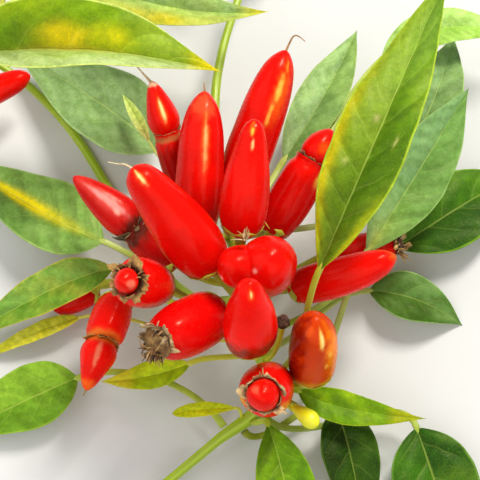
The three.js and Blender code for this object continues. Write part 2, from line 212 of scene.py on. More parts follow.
FRUITS = {
    "long_back": Fruit(5.6, (-2, 13, 24), (12, 46, 46), 12.5, POINTED, bend=(0, 0, 2), patches=[
        (0.74, (0.45, -0.6, 0.7), 0.2, 0.42, HIGHLIGHT_GLOW, 0.8),
        (0.76, (0.32, -0.6, 0.72), 0.1, 0.17, HIGHLIGHT_GOLD, 1),
        (0.77, (0.28, -0.6, 0.74), 0.07, 0.07, GLINT, 0.9),
        (0.9, (0.45, -0.6, 0.6), 0.05, 0.12, HIGHLIGHT_GOLD, 0.8),
        (0.58, (0.24, -0.6, 0.76), 0.08, 0.1, HIGHLIGHT_GOLD, 0.8),
    ]),
    "long_front": Fruit(5.1, (0.2, -2.5, 39), (3.7, 20, 58), 12.3, WAISTED, bend=(0, 0, 1), patches=[
        (0.93, (-0.1, -0.3, 1), 0.06, 0.35, HIGHLIGHT_GLOW, 0.7), (0.9, (-0.1, -0.5, 1), 0.04, 0.16, HIGHLIGHT_GOLD, 0.9),
        (0.8, (0.05, -0.5, 0.9), 0.05, 0.11, GLINT, 0.8),
    ]),
    "big_blunt": Fruit(4.9, (-7, -11, 37), (-26, 6, 60), 14.6, CLUB, bend=(0, 0, 1), patches=[
        (0.94, (-0.2, -0.1, 1), 0.08, 0.3, HIGHLIGHT_GLOW, 0.8), (0.93, (-0.2, -0.1, 1), 0.07, 0.15, GLINT, 1),
    ]),
    "slim_left": Fruit(5.8, (-11, 2, 29), (-9, 33, 48), 12.5, POINTED, bend=(0, 0, 1), patches=[
        # The glow and the pale orange streak two thirds along are a painted highlight
        (0.9, (0, 0, 1), 0.1, 0.9, (252, 92, 50), 0.6), (0.66, (0.2, -0.5, 1), 0.25, 0.2, HIGHLIGHT_GLOW, 0.7),
        (0.66, (0.2, -0.5, 1), 0.2, 0.09, (255, 186, 110), 1),
    ]),
    "ringed_small": Fruit(6.3, (-14, 14, 24), (-23, 38, 44), 8.8, pinched(0.57, 0.97, 0.74), patches=[
        (0.77, (0.2, -0.5, 1), 0.13, 0.28, HIGHLIGHT_GLOW, 0.8), (0.77, (0.2, -0.5, 1), 0.09, 0.13, GLINT, 1),
        # The darker red all round the cup below the ring is painted shade
        (0.3, (0, -0.5, 1), 0.22, 3, (160, 10, 6), 0.9), (0.98, (0, 0, 1), 0.02, 3, CREAM, 0.7),
        (0.53, (0, -0.5, 1), 0.025, 2, (176, 104, 56), 0.8),
    ]),
    "ringed_dark": Fruit(5.7, (8, 4, 23), (24, 28, 36), 11.5, pinched(0.7, 0.8), patches=[
        (0.3, (0, -0.5, 1), 0.3, 3, (206, 6, 4), 0.8), (0.84, (0.3, -0.2, 1), 0.06, 0.4, HIGHLIGHT_GLOW, 0.6),
        (0.58, (0.7, -0.3, 0.6), 0.07, 0.2, HIGHLIGHT_GOLD, 0.8),
    ]),
    "ringed_left": Fruit(
        5.25, (-16, -5, 24), (-43, 14, 37), 11, pinched(0.42, 0.93, 0.76), colour=(206, 16, 14),
        patches=[
            # The pink patches along the top are a painted highlight
            (0.74, (0.1, -0.2, 1), 0.24, 0.5, (222, 74, 64), 0.8),
            (0.72, (0.1, -0.15, 1), 0.2, 0.22, (244, 150, 138), 1),
            (0.6, (0.1, -0.4, 1), 0.03, 0.14, (250, 180, 160), 0.8),
            (0.95, (0, 0.3, 1), 0.08, 1.2, (206, 52, 44), 0.6),
            (0.4, (0, 0, 1), 0.1, 3, (74, 34, 22), 0.9),
        ],
    ),
    "end_on_left": Fruit(
        4.7, (-20, -15, 34), (-28.3, -21.5, 56), 12, pinched(0.8, 0.5, lip=0.66),
        patches=[
            (0.79, (0, 0, 1), 0.04, 4, (60, 30, 14), 1),
            # The pale pink patch at the tip is a painted highlight
            (0.93, (0, -0.5, 1), 0.05, 0.5, (255, 130, 100), 0.7),
        ],
    ),
    "ringed_low_left": Fruit(
        4.5, (-32, -12, 18), (-39, -39, 23), 10.5, pinched(0.5, 0.88, 0.7), colour=(255, 18, 8),
        patches=[
            (0.97, (0, 0, 1), 0.06, 3, (250, 104, 18), 0.9),
            (0.5, (0, 0, 1), 0.06, 3, (226, 130, 40), 0.7),
            # The pale pink patch on the lower lobe is a painted highlight
            (0.72, (0.1, -0.1, 1), 0.14, 0.18, (255, 132, 96), 0.9),
        ],
    ),
    "scabbed_left": Fruit(4.3, (-6, -22, 34), (-21, -35, 48), 14, SCABBED, colour=(222, 8, 6)),
    "two_lobed": Fruit(
        4.6, (7, -10.5, 33), (7, -15.3, 54), 14.5, BLUNT, lobe=((-3.6, -16.3, 52), 11.5),
        patches=[
            # Small pale pink spots: painted highlights
            (0.9, (-0.8, -0.7, 0.2), 0.03, 0.16, (255, 180, 160), 0.9),
            (0.74, (-0.9, -1, 0), 0.04, 0.08, (250, 160, 140), 0.8),
        ],
    ),
    "upright": Fruit(3.95, (2.5, -32.5, 40), (2, -25, 64), 13, WAISTED, colour=(252, 14, 6), patches=[
        # Brown at the stalk end: partly ripening colour, partly painted shade; at the tip a painted
        # highlight
        (0.16, (0, -1, 0.2), 0.16, 2, (96, 34, 6), 0.8),
        (0.93, (0.2, -0.8, 0.5), 0.05, 0.3, HIGHLIGHT_GLOW, 0.7),
        (0.93, (0.2, -0.8, 0.5), 0.03, 0.12, GLINT, 0.9),
    ]),
    "orange": Fruit(3.3, (18, -36, 25), (18, -27, 46), 12, BLUNT, colour=(214, 62, 8), patches=[
        # Dark red on the left and bright orange on the right: partly the fruit's own ripening colours,
        # partly painted shade and painted light; gold and glint patches are painted highlights
        (0.5, (-1, -0.5, 0), 0.8, 0.9, (144, 22, 4), 0.95),
        (0.55, (0.85, -0.5, 0.2), 0.4, 0.5, (255, 136, 10), 1),
        (0.8, (0.4, -0.85, 0.35), 0.13, 0.15, HIGHLIGHT_GOLD, 1), (0.8, (0.4, -0.85, 0.35), 0.1, 0.08, GLINT, 1),
        (0.1, (0, -1, 0), 0.09, 1.6, (196, 150, 40), 0.8),
        (0.3, (0.1, -1, 0.2), 0.2, 0.6, (200, 70, 6), 0.7),
        (0.58, (0.7, -0.7, 0.25), 0.05, 0.1, HIGHLIGHT_GOLD, 0.9),
        (0.42, (0.55, -0.85, 0.2), 0.04, 0.08, HIGHLIGHT_GOLD, 0.8),
        (0.9, (-0.2, -0.4, 0.8), 0.05, 0.3, (236, 90, 20), 0.6),
    ]),
    "long_right": Fruit(
        4.8, (13, -11, 22), (40, -6, 32), 10.5, POINTED, bend=(0, -1, 0), colour=(252, 14, 6),
        patches=[(1, (0, 0, 1), 0.05, 3, (214, 96, 30), 0.9)],
    ),
    "scabbed_right": Fruit(5.2, (25, 1, 14), (43, 2.5, 19), 9.5, SCABBED),
    "ringed_low": Fruit(3, (8, -36, 20), (5, -47, 44), 13, pinched(0.78, 0.6, lip=0.7), patches=[
        (0.66, (-1, -0.3, 0.1), 0.09, 0.45, (240, 170, 40), 1),
        (0.66, (1, -0.7, -0.2), 0.08, 0.3, (236, 150, 40), 0.8),
        # The pale pink patch at the tip is a painted highlight
        (0.95, (-0.3, -0.2, 1), 0.04, 0.4, (252, 110, 78), 0.6),
        (0.4, (0.2, 1, 0.2), 0.1, 0.5, (120, 10, 4), 0.5),
    ]),
}

# Small fruits and the flower bud, each in one piece with its stalk
GROWN_ON = {
    "fruit_small_left": Fruit(2.6, (-39, -5, 6), (-51, -11, 5), 8, POINTED, stem="shoot_left"),
    "fruit_far_left": Fruit(6.3, (-76, 48, 13), (-59, 54.5, 17), 8, POINTED, stem="shoot_left"),
    "flower_bud": Fruit(
        2.8, (12.3, -41.4, 20), (19.5, -48.3, 23.5), 4.6, DROP, colour=BUD_YELLOW, slot="bud",
    ),
}

LEAVES = {
    "big_right": Leaf(
        3.5, ((19.2, -15, 43.5), (33, 14, 58), (55, 67, 52)), 20.5, 15,
        (116, 146, 38), (88, 128, 18), (178, 200, 62), face=(-0.4, -0.3, 0.9), swell=1.2,
        margin_width=0.07, mottle=(150, 168, 54), veins=0.5, pucker=2.6,
        patches=[
            (0, 0.34, 2, 0.19, (68, 94, 2), 0.8), (-0.4, 0.64, 0.4, 0.12, (154, 176, 72), 0.7),
            (0.3, 0.84, 0.7, 0.16, (128, 164, 66), 0.8), (-0.05, 0.14, 0.5, 0.12, (82, 98, 8), 0.85),
            (-0.92, 0.42, 0.24, 0.26, (188, 176, 0), 1.2),
            (-0.84, 0.38, 0.1, 0.16, (206, 174, 0), 0.6),
            (-0.95, 0.12, 0.25, 0.14, (188, 192, 20), 0.8),
            (0.95, 0.18, 0.22, 0.12, (206, 204, 20), 0.9),
            # Three small pale specks: partly pale scratches, partly painted highlight
            (-0.45, 0.41, 0.05, 0.012, (196, 190, 110), 0.8),
            (0.6, 0.5, 0.04, 0.014, (210, 205, 130), 0.9),
            (-0.17, 0.56, 0.06, 0.01, (204, 184, 130), 0.8),
        ],
    ),
    # Grey-green: partly the leaf's own colour, partly painted sheen
    "grey_right": Leaf(
        3.2, ((33, -1.6, 22), (47.3, 20, 27), (62.5, 45.6, 26)), 18, 15,
        (124, 162, 104), (104, 144, 72), (150, 184, 104), face=(0.2, -0.3, 1), swell=1.1,
        patches=[(0.0, 0.0, 0.6, 0.2, (188, 200, 96), 0.9)],
    ),
    "back_right": Leaf(
        6.3, ((42, 23, 12), (54, 47, 15), (62, 72, 9)), 17, 10,
        (124, 156, 100), (112, 144, 88), (180, 206, 130),
    ),
    "lime_right": Leaf(
        6.6, ((40, 60, 16), (58, 68, 20), (80, 66, 17)), 12, 12,
        (172, 208, 112), (156, 198, 84), (190, 216, 120),
    ),
    # Its right half is painted pale, with a paler patch on it: painted sheen on that half, which is
    # seen at a low angle
    "top_left": Leaf(
        7.6, ((-80, 49, 36), (-42, 46, 46), (-5, 43, 40)), 28, 30,
        (102, 136, 0), (174, 192, 112), (214, 224, 120), stem="shoot_left", face=(0, 0.1, 1),
        halves=(1.05, 0.8), mottle=(136, 166, 12), tip=(226, 208, 20), pucker=2.6,
        patches=[
            (-0.45, 0.8, 0.6, 0.14, (168, 190, 70), 0.8), (-0.24, 0.46, 0.2, 0.09, (222, 192, 4), 1.3),
            (-0.3, 0.62, 0.2, 0.055, (216, 206, 8), 1.2), (-0.9, 0.3, 0.3, 0.16, (168, 190, 30), 0.6),
            (-0.02, 0.48, 0.07, 0.2, (176, 140, 50), 0.7), (0.8, 0.5, 0.2, 0.5, (190, 202, 144), 0.6),
        ],
    ),
    "top_middle": Leaf(
        7.2, ((-54, 89, 24), (-25, 70, 30), (8, 66, 32)), 16, 25,
        (150, 182, 110), (166, 192, 104), (196, 200, 80), stem="shoot_left", face=(0, -0.2, 1),
        tip=(214, 206, 60), patches=[(0.75, 0.55, 0.4, 0.22, (216, 190, 14), 0.95)],
    ),
    "low_left": Leaf(
        2.3, ((-34, -2.5, 14), (-52, -9, 13), (-78, -20, 0)), 12.5, 12,
        (104, 146, 50), (118, 160, 70), (206, 190, 70), stem="shoot_left", veins=0.8,
        tip=(206, 180, 60),
    ),
    "left": Leaf(
        2.9, ((-37, 6, 12), (-55, 16, 10), (-82, 37, 0)), 21, 12,
        (112, 150, 72), (134, 170, 84), (168, 196, 110), stem="shoot_left", veins=0.5,
        patches=[(0.02, 0.72, 0.17, 0.4, (252, 226, 0), 1.6)],
    ),
    "left_back": Leaf(
        3.5, ((-22, 34, 10), (-40, 49, 11), (-66, 68, 7)), 24, 10,
        (130, 160, 100), (148, 178, 118), (176, 204, 140), stem="shoot_left", veins=0.35,
    ),
    "narrow": Leaf(
        7.2, ((-25, 34, 16), (-29, 41, 18), (-33, 49, 16)), 4, 30,
        (208, 220, 124), (192, 210, 104), (216, 226, 140), veins=0.2,
        patches=[(0.0, 0.0, 1.0, 0.25, (206, 150, 112), 0.8)],
    ),
    "back_middle": Leaf(
        6.8, ((12, 30, 12), (24, 50, 15), (34, 73, 10)), 14, 15,
        (152, 184, 122), (122, 156, 88), (172, 196, 100),
    ),
    "low_right": Leaf(
        3.9, ((35, -6, 6), (48, -9, 7), (61, -14, 0)), 14, 10,
        (86, 122, 60), (66, 100, 38), (152, 182, 112),
    ),
    "dark_right": Leaf(
        4.2, ((43, 6, 7), (61, 18, 8), (80, 32, 0)), 22, 10,
        (64, 108, 26), (48, 86, 20), (124, 168, 44),
    ),
    "bright_right": Leaf(
        2.9, ((15, -37, 16), (28, -42, 16), (48, -44, 14)), 9, 15,
        (112, 152, 0), (100, 142, 0), (160, 182, 24), face=(0, -0.2, 1), tip=(160, 164, 6),
        tip_starts=0.72,
    ),
    "bottom": Leaf(
        2.6, ((7, -45, 14), (12, -63, 13), (18, -90, 0)), 15.5, 12,
        (92, 136, 8), (82, 122, 6), (140, 172, 40), face=(0, -0.2, 1), swell=1.3, veins=0.6,
    ),
    "yellow": Leaf(
        2.5, ((-1, -41.3, 14.5), (-9, -41.6, 14.5), (-17.6, -42.4, 13)), 4, 10,
        (202, 206, 24), (186, 196, 20), (214, 214, 60), taper=0.6, veins=0.2,
    ),
    "low_yellow": Leaf(
        3.9, ((-13, -29, 14), (-24, -32, 12), (-37, -32, 7)), 8, 12,
        (156, 184, 14), (178, 200, 22), (198, 196, 60), tip=(214, 208, 50), tip_starts=0.6,
    ),
    "yellow_left": Leaf(
        4.2, ((-43, -14, 7), (-55, -18, 6), (-73, -25, 0)), 5, 12,
        (206, 196, 50), (194, 190, 50), (222, 212, 100),
    ),
    "bottom_left": Leaf(
        2.2, ((-43, -31, 7), (-57, -37, 6), (-78, -46, 0)), 18, 10,
        (104, 146, 42), (122, 162, 48), (150, 182, 64), veins=0.6,
    ),
    "hooked": Leaf(
        2.75, ((46, -45, 9), (51.5, -63, 7), (60, -88, 0)), 23, 10,
        (38, 80, 4), (56, 100, 22), (116, 154, 66), veins=0.5,
    ),
    "bottom_dark": Leaf(
        2.4, ((25, -39, 9), (29, -54, 8), (33, -74, 0)), 15, 10,
        (34, 66, 0), (28, 58, 0), (76, 110, 16),
    ),
    "young_one": Leaf(
        10.6, ((7, 98, 22), (14, 106, 25), (20, 115, 20)), 8, 25,
        (158, 196, 84), (146, 188, 76), (180, 206, 100), veins=0.5,
    ),
    "young_two": Leaf(
        10.2, ((-2, 92, 22), (-10, 100, 24), (-18, 108, 18)), 8, 25,
        (158, 196, 84), (146, 188, 76), (180, 206, 100), veins=0.5,
    ),
}

# Collars of dried flower remains at the rings of fruits
COLLARS = {
    "ringed_small": Collar(0.57, 9, (0.5, 1.1), 0.9, (-1.2, 0.6), BROWN, TAN),
    "ringed_dark": Collar(0.7, 9, (0.4, 1.2), 0.8, (-1.5, 1.2), DARK_BROWN, TAN),
    "ringed_left": Collar(0.42, 16, (1.4, 3.2), 0.6, (-2.4, 2.4), DARK_BROWN, (122, 104, 62)),
    "end_on_left": Collar(0.8, 14, (1.9, 3.4), 0.35, (-1.6, 2.6), (78, 46, 20), (194, 150, 80)),
    "ringed_low_left": Collar(0.5, 10, (0.8, 1.8), 1.0, (-1.0, 0.8), BROWN, (206, 160, 74)),
    "ringed_low": Collar(0.78, 11, (1.2, 4.4), 0.6, (-1.4, 2.2), BROWN, (220, 190, 132)),
}

# Dried styles that some fruits keep at their tips: points after the tip, radius and colour
STYLES = {
    "long_back": (
        [(12.9, 47.6, 47.1), (13.9, 49.0, 48), (15.1, 49.0, 48.2), (16.9, 47.5, 48)], 0.32, TAN,
    ),
    "big_blunt": ([(-27.8, 6.5, 60.6), (-29.4, 6.6, 60.6), (-31.9, 7.4, 60)], 0.28, CREAM),
    "ringed_small": ([(-24.3, 38.7, 45), (-25.6, 39.8, 46), (-27.1, 41.3, 47)], 0.4, CREAM),
    "slim_left": ([(-9.1, 33.6, 48.6), (-9.2, 34.9, 49.4)], 0.3, TAN),
    "ringed_low_left": ([(-39.3, -39.8, 23.2), (-39.6, -40.6, 23.4)], 0.3, TAN),
}

# Crusts over the ends of two fruits: radius and height, colours, the flakes that stand out of
# them, how many threads, and frayed tufts, each as its shift from the crust's middle, its threads
# and their length
CRUSTS = {
    "scabbed_left": (
        4.1, 2.1, (CRUST, (134, 92, 44), DARK_BROWN),
        Collar(0.9, 15, (1.8, 3.6), 0.9, (-2.8, 3.0), BROWN, (190, 160, 112)),
        20, [((-1.3, -2.6, -0.4), 34, (2.0, 4.2))],
    ),
    "scabbed_right": (
        2.5, 1.5, (TAN, BROWN, DARK_BROWN),
        Collar(0.94, 13, (2, 4), 0.8, (-2.8, 3), BROWN, (206, 166, 96)), 24, [],
    ),
}

# The star of shreds in front of the second lobe: its middle, and the way that it opens
STAR = (1.2, -9.8, 53.4)
STAR_FACES = (-0.05, 0.5, 0.9)
STAR_SHREDS = 9

# The dark dried knob beside one fruit, on its own short stalk
KNOB_BESIDE = "orange"
KNOB = (10.7, -25.2, 36)
KNOB_FROM = 3.75
KNOB_RADIUS = 1.7
KNOB_STALK = 0.75

# The calyx's rings: reach along the fruit, share of its radius, and how far its teeth carry them
CALYX = [
    (-0.55, 0.42, 0), (-0.2, 0.8, 0), (0.25, 1.02, 0), (0.8, 1.03, 0.2), (1.3, 1.03, 1.0),
    (1.25, 0.97, 1.0), (0.3, 0.9, 0),
]
TOOTH = 1.3
CALYX_CLEARANCE = 0.22

# The midrib's end, as a place along the blade
RIB_ENDS = 0.9

# The veins of a leaf, in half widths of its blade: the side veins' spacing, how steeply they
# leave the rib, how much they bend on towards the tip, and how far the two sides are offset
VEIN_SPACING = 1.0
VEIN_SLOPE = 0.72
VEIN_BEND = 0.34
VEIN_OFFSET = 0.41


def srgb(colour):
    """A colour given as it looks on a screen, 0 to 255, as the linear colour of a shader."""
    parts = [value / 255 for value in colour]
    return np.array([p / 12.92 if p <= 0.04045 else ((p + 0.055) / 1.055) ** 2.4 for p in parts])


def array(*values):
    return np.array(values, dtype=float)


def unit(way):
    return way / np.linalg.norm(way)


def square_to(way, along):
    return unit(way - np.dot(way, along) * along)


def smooth(low, high, value):
    part = np.clip((value - low) / (high - low), 0, 1)
    return part * part * (3 - 2 * part)


def blend(first, second, part):
    """Mixes two colours, or a grid of colours and a colour, by a grid of parts from 0 to 1."""
    part = np.asarray(part)[..., None]
    return first * (1 - part) + second * part


def ripple(seed, scale, *coordinates):
    """Smooth seeded noise between about -1 and 1, from a sum of waves, over any coordinates."""
    draw = random.Random(seed)
    total = 0
    for octave in range(7):
        finer = 1 + 0.45 * octave
        turn = sum(value * draw.uniform(-1, 1) * scale * finer for value in coordinates)
        total = total + np.sin(turn + draw.uniform(0, math.tau)) / (1 + 0.3 * octave)
    return total / 3.2


def cloud(seed, scale, *coordinates):
    """The same noise, between about 0 and 1."""
    return 0.5 + 0.5 * ripple(seed, scale, *coordinates)


class Bezier:
    def __init__(self, *points):
        self.points = [array(*point) for point in points]

    def point(self, place):
        points = self.points
        while len(points) > 1:
            points = [a + (b - a) * place for a, b in zip(points, points[1:])]
        return points[0]

    def at(self, place):
        """The point at a place from 0 to 1, and the way on there."""
        steps = [b - a for a, b in zip(self.points, self.points[1:])]
        return self.point(place), unit(Bezier(*steps).point(place))

    def length(self):
        points = [self.point(step / 24) for step in range(25)]
        return sum(np.linalg.norm(b - a) for a, b in zip(points, points[1:]))


def spline(points, place):
    """The point at a place on a smooth line through points, counted in points from the first."""
    last = len(points) - 1
    span = min(int(place), last - 1)
    part = place - span
    before = points[span - 1] if span > 0 else 2 * points[0] - points[1]
    after = points[span + 2] if span + 2 <= last else 2 * points[last] - points[last - 1]
    here, there = points[span], points[span + 1]
    leave, arrive = (there - before) / 2, (after - here) / 2
    square, cube = part * part, part ** 3
    return (
        (2 * cube - 3 * square + 1) * here + (cube - 2 * square + part) * leave
        + (3 * square - 2 * cube) * there + (cube - square) * arrive
    )


def way_on(points, place, step):
    """The way on at a place on that line, from a step before it to a step after it."""
    low, high = max(0, place - step), min(len(points) - 1, place + step)
    return unit(spline(points, high) - spline(points, low))


class StemLine:
    def __init__(self, points):
        self.points = [array(*point[:3]) for point in points]
        self.radii = [point[3] for point in points]
        self.spans = len(points) - 1

    def at(self, place):
        return spline(self.points, place), way_on(self.points, place, 0.01)

    def radius(self, place):
        span = min(int(place), self.spans - 1)
        return self.radii[span] + (self.radii[span + 1] - self.radii[span]) * (place - span)

    def foot(self, place, towards):
        """Where a piece that heads for a point leaves the stem, and the way it sets off."""
        centre, along = self.at(place)
        away = square_to(towards - centre, along)
        radius = max(self.radius(place + shift) for shift in (-0.1, 0, 0.1))
        return centre + away * (radius + 1.1 * GAP), away


def bridge(foot, end, onward):
    start, away = foot
    reach = np.linalg.norm(end - start)
    return Bezier(start, start + away * LEAVING * reach, end - onward * ARRIVING * reach, end)


def fruit_axis(base, tip, bend=(0, 0, 0)):
    base, tip = array(*base), array(*tip)
    return Bezier(base, (base + tip) / 2 + 2 * array(*bend), tip)


def turns(sides):
    return np.arange(sides) * math.tau / sides


def turned(alongs):
    """A way across each of the ways on, turned no further than those turn."""
    across = (1, 0, 0) if abs(alongs[0][0]) < 0.8 else (0, 1, 0)
    for along in alongs:
        across = square_to(across, along)
        yield across


def outward(along, across, angle):
    return across * math.cos(angle) + np.cross(along, across) * math.sin(angle)


def ring_about(centre, along, across, x, y):
    return centre + np.outer(x, across) + np.outer(y, np.cross(along, across))


def rings_around(stations, sides, form=lambda angles, index: 1):
    """Rings of points about stations, each a centre, the way on and a radius. form(angles, index)
    gives each point's share of the radius."""
    angles, rings = turns(sides), []
    ways = turned([along for _, along, _ in stations])
    for index, ((centre, along, radius), across) in enumerate(zip(stations, ways)):
        reach = radius * form(angles, index)
        x, y = reach * np.cos(angles), reach * np.sin(angles)
        rings.append(ring_about(centre, along, across, x, y))
    return np.array(rings)


def with_ends(grid):
    """Values of rings, and those of the middles of the first and the last one."""
    flat = grid.reshape(-1, grid.shape[-1])
    return np.vstack([flat, grid[0].mean(axis=0), grid[-1].mean(axis=0)])


class Shape:
    """A mesh put together from parts. Each point has its paint, whose fourth value is free for
    the material's use, and each corner of a blade its place on it."""

    def __init__(self):
        self.points, self.faces, self.places, self.slots, self.paint = [], [], [], [], []
        self.count = 0

    def add(self, points, faces, paint, slot=0, places=None):
        if paint.shape[1] == 3:
            paint = np.hstack([paint, np.ones((len(paint), 1))])
        self.faces += [tuple(corner + self.count for corner in face) for face in faces]
        self.points.append(points)
        self.places.append(np.zeros((sum(map(len, faces)), 2)) if places is None else places)
        self.slots += [slot] * len(faces)
        self.paint.append(paint)
        self.count += len(points)

    def add_body(self, rings, paint, slot=0):
        """A closed body through rings that turn left about the way on."""
        count, sides = rings.shape[:2]
        last, start, end = (count - 1) * sides, count * sides, count * sides + 1
        faces = []
        for side in range(sides):
            after = (side + 1) % sides
            faces.append((start, after, side))
            for here in range(0, last, sides):
                there = here + sides
                faces.append((here + side, here + after, there + after, there + side))
            faces.append((end, last + side, last + after))
        self.add(with_ends(rings), faces, with_ends(paint + 0 * rings), slot)

    def finish(self, name, materials, node, slot):
        """Makes the piece that stands for a node of the frame."""
        mesh = bpy.data.meshes.new(name)
        points = (np.vstack(self.points) - MIDDLE) * MM
        mesh.from_pydata(points.tolist(), [], self.faces)
        layer = mesh.uv_layers.new(name="place")
        layer.data.foreach_set("uv", np.vstack(self.places).astype(np.float32).ravel())
        mesh.polygons.foreach_set("material_index", self.slots)
        mesh.polygons.foreach_set("use_smooth", [True] * len(self.faces))
        paint = mesh.color_attributes.new("paint", "FLOAT_COLOR", "POINT")
        paint.data.foreach_set("color", np.vstack(self.paint).astype(np.float32).ravel())
        for material in materials:
            mesh.materials.append(material)
        mesh.update()
        piece = link(name, mesh)
        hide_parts(node)
        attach(piece, "root")


def link(name, data):
    made = bpy.data.objects.new(name, data)
    bpy.context.scene.collection.objects.link(made)
    return made


def shell(top, thickness):
    """Points and faces of a thin closed sheet under a grid of points."""
    rows, columns = top.shape[:2]
    down = np.cross(np.gradient(top, axis=0), np.gradient(top, axis=1))
    down = down / np.maximum(np.linalg.norm(down, axis=2, keepdims=True), 1e-9)
    under = top + down * np.asarray(thickness)[..., None]
    index = np.arange(rows * columns).reshape(rows, columns)
    low, high = index[:-1], index[1:]
    quads = np.stack([low[:, :-1], low[:, 1:], high[:, 1:], high[:, :-1]], axis=-1).reshape(-1, 4)
    shift = rows * columns
    rim = np.concatenate([index[0, :-1], index[:-1, -1], index[-1, :0:-1], index[:0:-1, 0]])
    after = np.roll(rim, -1)
    sides = np.stack([rim, rim + shift, after + shift, after], axis=-1)
    faces = np.vstack([quads, quads[:, ::-1] + shift, sides])
    return np.vstack([top.reshape(-1, 3), under.reshape(-1, 3)]), faces.tolist()


# Stems: angular, with ridges that run on from ring to ring
def stem_shape(shape, line, cut):
    steps = line.spans * STEM_STEPS
    places = [step * line.spans / steps for step in range(steps + 1)]
    stations = [(*line.at(place), line.radius(place)) for place in places]

    def form(angles, index):
        ridges = 0.045 * np.cos(5 * angles + 0.02 * index) + 0.02 * np.cos(10 * angles + 1)
        return 1 + ridges + 0.03 * ripple(5, 1, np.cos(angles), np.sin(angles), index * 0.3)

    angles, index = turns(STEM_SIDES), np.arange(steps + 1)[:, None]
    # Ridges painted lighter and the furrows between them darker, as lit and shaded copies of one
    # green: painted light and shade, mixed with random streaks
    light = 0.5 + 0.5 * np.cos(5 * angles)
    streak = cloud(8, 1.3, 3 * np.cos(angles), 3 * np.sin(angles), 0.15 * index)
    colour = srgb(STEM_GREEN)
    tones = blend(colour * 0.78, colour * 1.18, light * 0.6 + streak * 0.4)
    shape.add_body(rings_around(stations, STEM_SIDES, form), tones)
    if cut:
        paint = shape.paint[-1]
        paint[-2, :3] = srgb(CUT_WOOD)
        paint[:STEM_SIDES, :3] = srgb(CUT_RIM)


def stalk_shape(shape, fruit, axis, slot=0):
    """A stalk that widens into a ribbed calyx, whose teeth lie on the fruit's shoulder."""
    (start, onward), length, stations = axis.at(0), axis.length(), []
    line = bridge(lines[fruit.stem].foot(fruit.place, fruit.base), start - onward * GAP, onward)
    for place in np.linspace(0, 0.86, STALK_STEPS):
        widened = 1 + 0.12 * smooth(0.2, 0, place) + 0.5 * smooth(0.6, 0.9, place)
        stations.append((*line.at(place), STALK_RADIUS * widened))
    rings = list(rings_around(stations, STALK_SIDES, lambda a, index: 1 + 0.06 * np.cos(5 * a)))
    *_, across = turned([along for _, along, _ in stations] + [onward])
    shoulder = [(place * length, part * fruit.width / 2) for place, part in fruit.outline[:4]]
    angles = turns(STALK_SIDES)
    tooth = np.abs(np.cos(2.5 * angles)) ** 2
    for reach, share, toothed in CALYX:
        reaches = reach + toothed * TOOTH * tooth
        radii = np.interp(np.maximum(reaches, 0), *np.transpose(shoulder)) + CALYX_CLEARANCE
        x, y = share * radii * np.cos(angles), share * radii * np.sin(angles)
        rings.append(ring_about(start + np.outer(reaches, onward), onward, across, x, y))
    index = np.arange(len(rings))[:, None]
    # Ribs painted lighter and the grooves between them darker: painted light and shade
    colour = srgb(STALK_GREEN)
    tones = blend(colour * 0.8, colour * 1.15, 0.5 + 0.5 * np.cos(5 * angles))
    tones = blend(tones, srgb(CALYX_GREEN), smooth(14, 19, index))
    shape.add_body(np.array(rings), tones, slot)


# Fruits
def profile(outline, length, radius):
    """A fruit's outline as a smooth line of (reach, radius), rounded off at the tip."""
    knots = [array(0.02 * length, 0)]
    knots += [array(place * length, part * radius) for place, part in outline]
    knots.append(array(knots[-2][0], -knots[-2][1]))
    spans = len(knots) - 2
    line = [spline(knots, step * spans / FRUIT_RINGS) for step in range(FRUIT_RINGS + 1)]
    return [(max(reach, 0.0), max(r, 0.004)) for reach, r in line]


def fruit_rings(axis, width, outline, seed):
    """The rings of a fruit, slightly lobed and dented, with pleats at the stalk, and the place
    of each along its axis."""
    length = axis.length()
    line = profile(outline, length, width / 2)
    stations = [(*axis.at(min(reach / length, 1.0)), radius) for reach, radius in line]

    def form(angles, index):
        place = line[index][0] / length
        lobes = 0.022 * np.cos(3 * angles + seed) + 0.012 * np.cos(2 * angles + 2 * seed)
        dents = 0.02 * ripple(seed, 1.6, np.cos(angles), np.sin(angles), 5 * place)
        pleats = 0.03 * smooth(0.16, 0, place) * np.cos(8 * angles + seed)
        return 1 + lobes + dents + pleats

    places = np.array([reach / length for reach, _ in line])
    return rings_around(stations, FRUIT_SIDES, form), places[:, None]


def fruit_paint(fruit, rings, along, seed):
    """The fruit's colour at each point: its own, painted shade towards the stalk, random darker tone,
    and its patches, many of them painted highlights.
    """
    grid = srgb(fruit.colour) + 0 * rings
    if fruit.slot == "bud":
        return grid
    spots = np.moveaxis(rings, -1, 0)
    shade = cloud(seed, 0.25, *spots)
    # Darker towards the stalk end: painted shade, with random darker tone from the cloud noise
    grid = blend(grid, grid * 0.6, 0.55 * smooth(0.4, 0.0, along) + 0.3 * shade)
    rough, fine = ripple(seed + 1, 1.1, *spots), ripple(seed + 2, 2.6, *spots)
    centres = rings.mean(axis=1, keepdims=True)
    out = rings - centres
    out = out / np.maximum(np.linalg.norm(out, axis=2, keepdims=True), 1e-6)
    axis = unit(centres[-1, 0] - centres[0, 0])
    for place, facing, spread, turn, colour, strength in fruit.patches:
        angle = np.arccos(np.clip(out @ square_to(facing, axis), -1, 1))
        weight = np.exp(-((along - place) / spread) ** 2 - (angle / turn) ** 2)
        ragged = weight * (1 + 0.35 * rough + 0.4 * fine)
        grid = blend(grid, srgb(colour), strength * smooth(0.12, 0.85, ragged))
    return grid


def fruit_shape(shape, fruit, axis, width, seed, paint_seed):
    rings, places = fruit_rings(axis, width, fruit.outline, seed)
    shape.add_body(rings, fruit_paint(fruit, rings, places, paint_seed))


